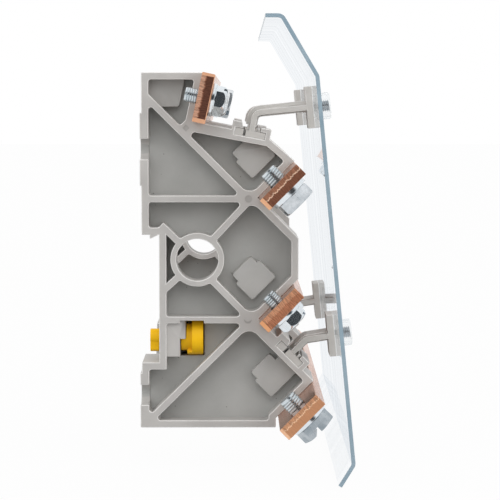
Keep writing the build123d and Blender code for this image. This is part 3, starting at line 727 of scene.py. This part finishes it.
# middle of each head on the cover's outer face, X and Z, and how far its axis rises
KNOBS = {"upper": (53.88, 58.36, 5.48), "lower": (60.57, -11.34, 5.48)}
STUD_R = 1.8

clear_knob = see_through("clear knob", (0.97, 0.98, 0.985), 0.1, (0.95, 0.96, 0.97), 0.14, 0.6)
rod = join(solid_of_turning("rod", 36, STUD_R - 0.3, 0.3, 3.7, 0.2, 2), thread_ridge(STUD_R, 0.6, 0.5, 5))
smooth(rod, 32)
for name, (x, z, rise) in KNOBS.items():
    for end, start in FACES.items():
        node = "cover_screw_%s_%s" % (name, end)
        piece = softened(node, "knob_%s_%s" % (name, end), 0.12)
        place = Matrix.Translation(Vector((x, start + ARM_MIDDLE, z)) * MM)
        stud = copy_at(rod, place @ Matrix.Rotation(math.radians(90 - rise), 4, "Y"))
        pick(stud)
        bpy.ops.object.transform_apply(location=True, rotation=True, scale=True)
        stud.name = "stud_%s_%s" % (name, end)
        dress(piece, "block", node, clear_knob)
        dress(stud, "block", node, dull_zinc)
bpy.data.objects.remove(rod)


# Rail latches
# Yellow moulded quarter-turn pieces, one in each support: a slotted knob and a shaft in front,
# and a cam behind the wall that grips the lower lip of the rail.

yellow = plastic("latch yellow", (0.90, 0.50, 0.008), (0.97, 0.57, 0.012), 0.4, shine=0.15)
for end in FACES:
    node = "rail_latch_" + end
    piece = softened(node, "latch_" + end, 0.15)
    dress(piece, "latch_" + end, node, yellow)


# Floor and backdrop
# A pale table just under the block, and an even white surround. Reflections show a dark patch
# behind the camera, which gives the plated heads and threads their dark marks.

floor_level = min(lowest.z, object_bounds()[0].z) - 0.0003
bpy.ops.object.select_all(action="DESELECT")
bpy.ops.mesh.primitive_plane_add(size=8.0, location=(0, 1.5, floor_level))
floor = bpy.context.object
floor.name = "floor"
floor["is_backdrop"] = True
paper, nodes, links, shader = new_material("paper")
shader.inputs["Base Color"].default_value = (0.28, 0.28, 0.28, 1)
shader.inputs["Roughness"].default_value = 0.9
path = nodes.new("ShaderNodeLightPath")
glow = nodes.new("ShaderNodeEmission")
glow.inputs["Strength"].default_value = 1.02
seen = combine(nodes, links, "MAXIMUM", path.outputs["Is Camera Ray"], path.outputs["Is Transmission Ray"])
seen = combine(nodes, links, "MAXIMUM", seen, path.outputs["Is Glossy Ray"])
mix = nodes.new("ShaderNodeMixShader")
links.new(combine(nodes, links, "MULTIPLY", seen, 0.95), mix.inputs["Fac"])
links.new(shader.outputs["BSDF"], mix.inputs[1])
links.new(glow.outputs["Emission"], mix.inputs[2])
links.new(mix.outputs["Shader"], nodes["Material Output"].inputs["Surface"])
floor.data.materials.append(paper)

world = bpy.data.worlds.new("studio")
bpy.context.scene.world = world
world.use_nodes = True
nodes, links = world.node_tree.nodes, world.node_tree.links
room = nodes["Background"]
coords = nodes.new("ShaderNodeTexCoord")
toward = nodes.new("ShaderNodeVectorMath")
toward.operation = "DOT_PRODUCT"
toward.inputs[1].default_value = Vector((0.15, -0.96, 0.22)).normalized()
links.new(coords.outputs["Generated"], toward.inputs[0])
shade = ramp(nodes, links, toward.outputs["Value"], [(0.82, (1, 1, 1)), (0.93, (0.04, 0.045, 0.05))])
path = nodes.new("ShaderNodeLightPath")
shaded = blend(nodes, links, "MIX", path.outputs["Is Glossy Ray"], (1.08, 1.08, 1.08), shade)
links.new(shaded, room.inputs["Color"])
white = nodes.new("ShaderNodeBackground")
white.inputs["Color"].default_value = (1, 1, 1, 1)
seen = combine(nodes, links, "MAXIMUM", path.outputs["Is Camera Ray"], path.outputs["Is Transmission Ray"])
mix = nodes.new("ShaderNodeMixShader")
links.new(seen, mix.inputs["Fac"])
links.new(room.outputs[0], mix.inputs[1])
links.new(white.outputs[0], mix.inputs[2])
links.new(mix.outputs[0], nodes["World Output"].inputs["Surface"])


# Studio light
# Three wide lamps: one close, above and in front, and one further off on each side. They light
# the block without showing in its reflections.

def lamp(name, place, aim, size, power):
    """A square lamp of a size, at its place, turned to its aim."""
    light = bpy.data.lights.new(name, "AREA")
    light.shape = "SQUARE"
    light.size = size
    light.energy = power
    holder = bpy.data.objects.new(name, light)
    bpy.context.scene.collection.objects.link(holder)
    holder.location = place
    holder.visible_glossy = False
    holder.rotation_euler = (Vector(aim) - Vector(place)).to_track_quat("-Z", "Y").to_euler()


lamp("key", (-0.03, -0.40, 0.34), (0.03, -0.066, 0.03), 0.35, 0.5)
lamp("left", (-0.9, -0.35, 0.2), (0.03, 0, 0.02), 0.6, 1.0)
lamp("right", (0.5, -0.3, 0.15), (0.05, 0, 0.0), 0.4, 1.0)


# Camera
# The view of the photograph: along the bars from the near end and a little above their middle,
# through a long lens.

camera = bpy.data.objects.new("camera", bpy.data.cameras.new("camera"))
bpy.context.scene.collection.objects.link(camera)
camera.data.sensor_width = 36.0
camera.data.lens = 142.56
camera.data.clip_start = 0.05
camera.data.clip_end = 50.0
camera.location = (0.03008, -0.666, 0.0577)
camera.rotation_euler = (math.radians(90 - 4.08), 0, math.radians(-0.32))
bpy.context.scene.camera = camera
bpy.context.scene.view_settings.view_transform = "Standard"

lowest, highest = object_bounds()
